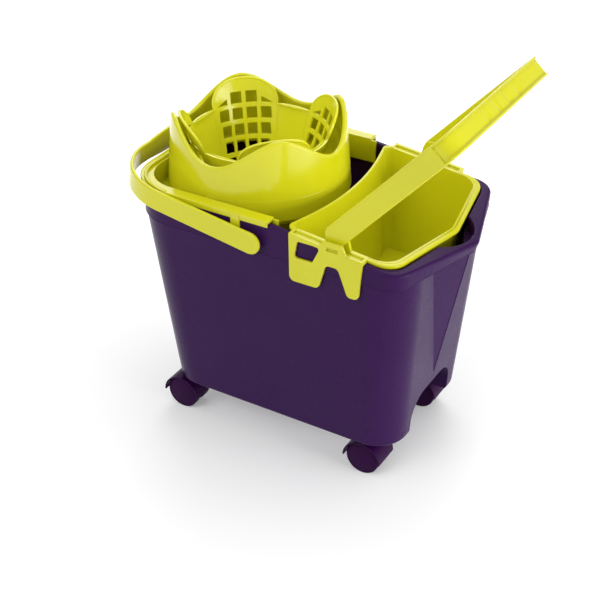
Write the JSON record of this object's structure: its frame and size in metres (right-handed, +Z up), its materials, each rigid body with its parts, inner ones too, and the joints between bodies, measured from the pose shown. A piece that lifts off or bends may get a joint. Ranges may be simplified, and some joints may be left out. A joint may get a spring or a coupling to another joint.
{
  "type": "wheeled mop bucket",
  "caption": "Plastic mop bucket on castors with a hook-on cone wringer, a hook-on caddy with its own bail, a carry handle and a pouring spout.",
  "frame": {"origin": "on the floor, under the middle of the whole object's box", "axes": "+X to the spout end, +Z up, -Y the front that the picture shows at the left"},
  "size_m": [0.4405, 0.274, 0.4885],
  "materials": {
    "purple_plastic": "satin",
    "lime_plastic": "gloss",
    "castor_plastic": "satin",
    "steel": "bright"
  },
  "bodies": {
    "tub": {"bucket_body": "purple_plastic", "castor_stem_front_left": "steel", "castor_stem_front_right": "steel", "castor_stem_rear_left": "steel", "castor_stem_rear_right": "steel"},
    "carry_handle": {"carry_handle": "lime_plastic"},
    "wringer": {"wringer_housing": "lime_plastic", "wringer_basket": "lime_plastic"},
    "caddy": {"caddy": "lime_plastic"},
    "caddy_handle": {"caddy_handle": "lime_plastic"},
    "castor_front_left": {"castor_hood_front_left": "castor_plastic", "castor_axle_front_left": "steel"},
    "wheel_front_left_a": {"castor_wheel_front_left_a": "castor_plastic"},
    "wheel_front_left_b": {"castor_wheel_front_left_b": "castor_plastic"},
    "castor_front_right": {"castor_hood_front_right": "castor_plastic", "castor_axle_front_right": "steel"},
    "wheel_front_right_a": {"castor_wheel_front_right_a": "castor_plastic"},
    "wheel_front_right_b": {"castor_wheel_front_right_b": "castor_plastic"},
    "castor_rear_left": {"castor_hood_rear_left": "castor_plastic", "castor_axle_rear_left": "steel"},
    "wheel_rear_left_a": {"castor_wheel_rear_left_a": "castor_plastic"},
    "wheel_rear_left_b": {"castor_wheel_rear_left_b": "castor_plastic"},
    "castor_rear_right": {"castor_hood_rear_right": "castor_plastic", "castor_axle_rear_right": "steel"},
    "wheel_rear_right_a": {"castor_wheel_rear_right_a": "castor_plastic"},
    "wheel_rear_right_b": {"castor_wheel_rear_right_b": "castor_plastic"}
  },
  "joints": [
    {"name": "carry_handle_swing", "type": "hinge", "parent": "tub", "child": "carry_handle", "pos_m": [-0.0195, 0, 0.307], "axis": [0, 1, 0], "range_deg": [0, 81]},
    {"name": "wringer_lift", "type": "slide", "parent": "tub", "child": "wringer", "axis": [0, 0, 1], "range_m": [0, 0.085]},
    {"name": "caddy_lift", "type": "slide", "parent": "tub", "child": "caddy", "axis": [0, 0, 1], "range_m": [0, 0.1]},
    {"name": "caddy_handle_swing", "type": "hinge", "parent": "caddy", "child": "caddy_handle", "pos_m": [0.0835, 0, 0.34], "axis": [0, 1, 0], "range_deg": [-102.5, 47.5]},
    {"name": "swivel_front_left", "type": "hinge", "parent": "tub", "child": "castor_front_left", "pos_m": [-0.1455, -0.0775, 0.03], "axis": [0, 0, 1], "continuous": true},
    {"name": "roll_front_left_a", "type": "hinge", "parent": "castor_front_left", "child": "wheel_front_left_a", "pos_m": [-0.1555, -0.0775, 0.0215], "axis": [0, 1, 0], "continuous": true},
    {"name": "roll_front_left_b", "type": "hinge", "parent": "castor_front_left", "child": "wheel_front_left_b", "pos_m": [-0.1555, -0.0775, 0.0215], "axis": [0, 1, 0], "continuous": true},
    {"name": "swivel_front_right", "type": "hinge", "parent": "tub", "child": "castor_front_right", "pos_m": [0.1185, -0.0775, 0.03], "axis": [0, 0, 1], "continuous": true},
    {"name": "roll_front_right_a", "type": "hinge", "parent": "castor_front_right", "child": "wheel_front_right_a", "pos_m": [0.1085, -0.0775, 0.0215], "axis": [0, 1, 0], "continuous": true},
    {"name": "roll_front_right_b", "type": "hinge", "parent": "castor_front_right", "child": "wheel_front_right_b", "pos_m": [0.1085, -0.0775, 0.0215], "axis": [0, 1, 0], "continuous": true},
    {"name": "swivel_rear_left", "type": "hinge", "parent": "tub", "child": "castor_rear_left", "pos_m": [-0.1455, 0.0775, 0.03], "axis": [0, 0, 1], "continuous": true},
    {"name": "roll_rear_left_a", "type": "hinge", "parent": "castor_rear_left", "child": "wheel_rear_left_a", "pos_m": [-0.1555, 0.0775, 0.0215], "axis": [0, 1, 0], "continuous": true},
    {"name": "roll_rear_left_b", "type": "hinge", "parent": "castor_rear_left", "child": "wheel_rear_left_b", "pos_m": [-0.1555, 0.0775, 0.0215], "axis": [0, 1, 0], "continuous": true},
    {"name": "swivel_rear_right", "type": "hinge", "parent": "tub", "child": "castor_rear_right", "pos_m": [0.1185, 0.0775, 0.03], "axis": [0, 0, 1], "continuous": true},
    {"name": "roll_rear_right_a", "type": "hinge", "parent": "castor_rear_right", "child": "wheel_rear_right_a", "pos_m": [0.1085, 0.0775, 0.0215], "axis": [0, 1, 0], "continuous": true},
    {"name": "roll_rear_right_b", "type": "hinge", "parent": "castor_rear_right", "child": "wheel_rear_right_b", "pos_m": [0.1085, 0.0775, 0.0215], "axis": [0, 1, 0], "continuous": true}
  ]
}
